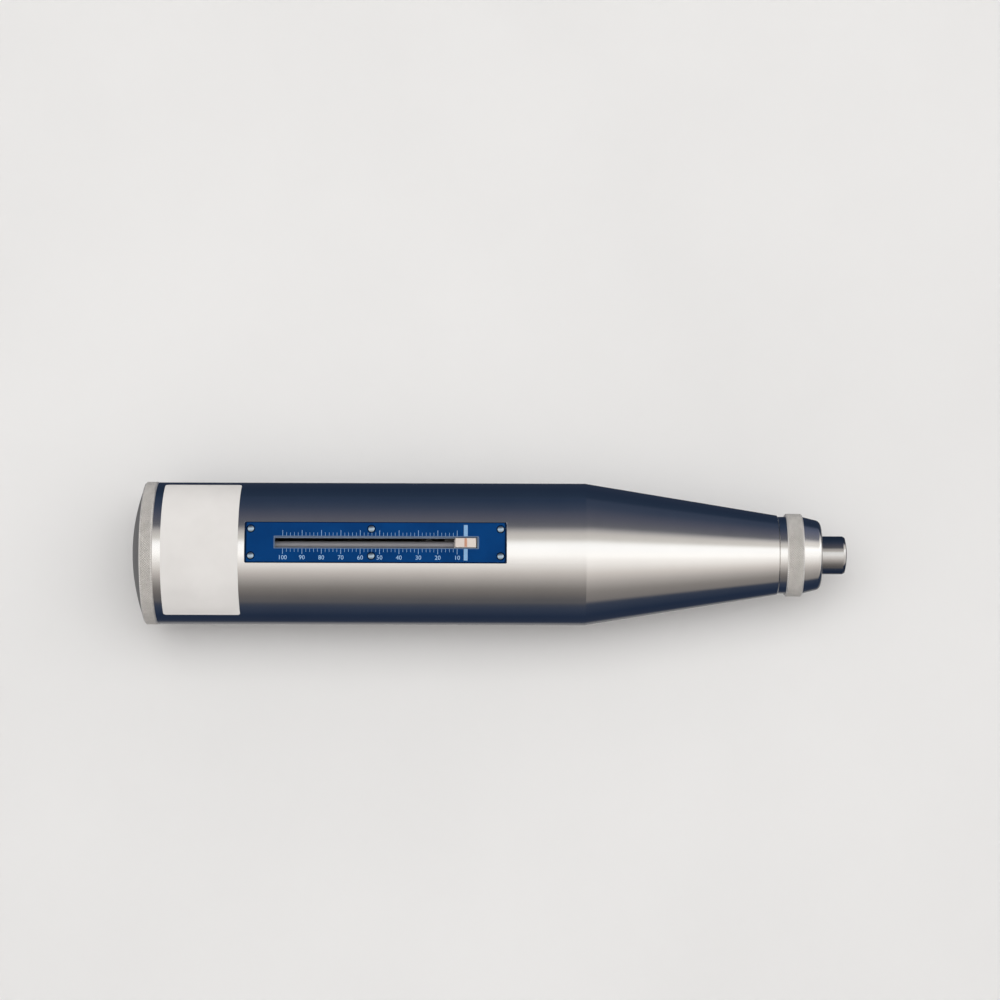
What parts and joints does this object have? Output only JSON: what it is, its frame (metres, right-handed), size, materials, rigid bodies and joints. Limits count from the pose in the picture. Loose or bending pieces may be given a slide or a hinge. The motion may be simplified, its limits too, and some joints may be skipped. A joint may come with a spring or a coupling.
{
  "type": "concrete test hammer",
  "caption": "Hand-held spring rebound hammer for testing concrete: a turned barrel with a tapered front, a steel plunger, a scale plate with a sliding rider, and the hammer mechanism inside.",
  "frame": {"origin": "on the tool's axis, in the middle of the nose cap's knurled collar", "axes": "+X along the tool's axis towards the plunger's tip, +Z towards the face of the scale plate"},
  "size_m": [0.282, 0.0564, 0.0565],
  "materials": {
    "turned_aluminium": "fine turned, satin",
    "bright_steel": "ground",
    "dark_steel": "blackened",
    "spring_steel": "drawn wire",
    "bronze": "turned",
    "felt": "felt",
    "blue_plate": "anodised, satin",
    "rivet_aluminium": "bright",
    "white_plastic": "satin",
    "label_paper": "matt film",
    "black_plastic": "moulded"
  },
  "bodies": {
    "housing": {"housing": "turned_aluminium", "rear_cover": "turned_aluminium", "trip_screw": "dark_steel", "trip_lock_nut": "dark_steel", "nose_cap": "turned_aluminium", "split_ring": "bronze", "guide_sleeve": "bronze", "felt_washer": "felt", "scale_plate": "blue_plate", "plate_rivets": "rivet_aluminium", "rider_rod": "bright_steel", "label": "label_paper", "button_bush": "dark_steel", "compression_spring": "spring_steel", "impact_spring": "spring_steel", "button_spring": "spring_steel"},
    "guide_unit": {"guide_bar": "bright_steel", "guide_disk": "bright_steel", "pawl_pin": "bright_steel", "pawl_spring": "spring_steel", "buffer_spring": "spring_steel"},
    "pawl": {"pawl": "dark_steel"},
    "plunger": {"impact_plunger": "bright_steel"},
    "mass": {"hammer_mass": "bright_steel"},
    "rider": {"rider": "white_plastic", "rider_finger": "spring_steel"},
    "button": {"button": "black_plastic", "button_clip": "spring_steel"}
  },
  "joints": [
    {"name": "plunger_slide", "type": "slide", "parent": "housing", "child": "guide_unit", "axis": [-1, 0, 0], "range_m": [-0.075, 0], "deforming": ["compression_spring"]},
    {"name": "plunger_buffer", "type": "slide", "parent": "guide_unit", "child": "plunger", "axis": [1, 0, 0], "range_m": [-0.004, 0], "stiffness_N_per_m": 2000, "deforming": ["buffer_spring"]},
    {"name": "pawl_pivot", "type": "hinge", "parent": "guide_unit", "child": "pawl", "pos_m": [-0.2244, 0, -0.012], "axis": [0, 1, 0], "range_deg": [0, 15], "stiffness_Nm_per_rad": 0.05, "deforming": ["pawl_spring"]},
    {"name": "mass_slide", "type": "slide", "parent": "housing", "child": "mass", "axis": [-1, 0, 0], "range_m": [0, 0.075], "stiffness_N_per_m": 785, "deforming": ["impact_spring"]},
    {"name": "rider_slide", "type": "slide", "parent": "housing", "child": "rider", "axis": [-1, 0, 0], "range_m": [0, 0.0685]},
    {"name": "button_press", "type": "slide", "parent": "housing", "child": "button", "axis": [0, -0.6428, 0.766], "range_m": [0, 0.003], "stiffness_N_per_m": 600, "springref_m": -0.002, "deforming": ["button_spring"]}
  ]
}
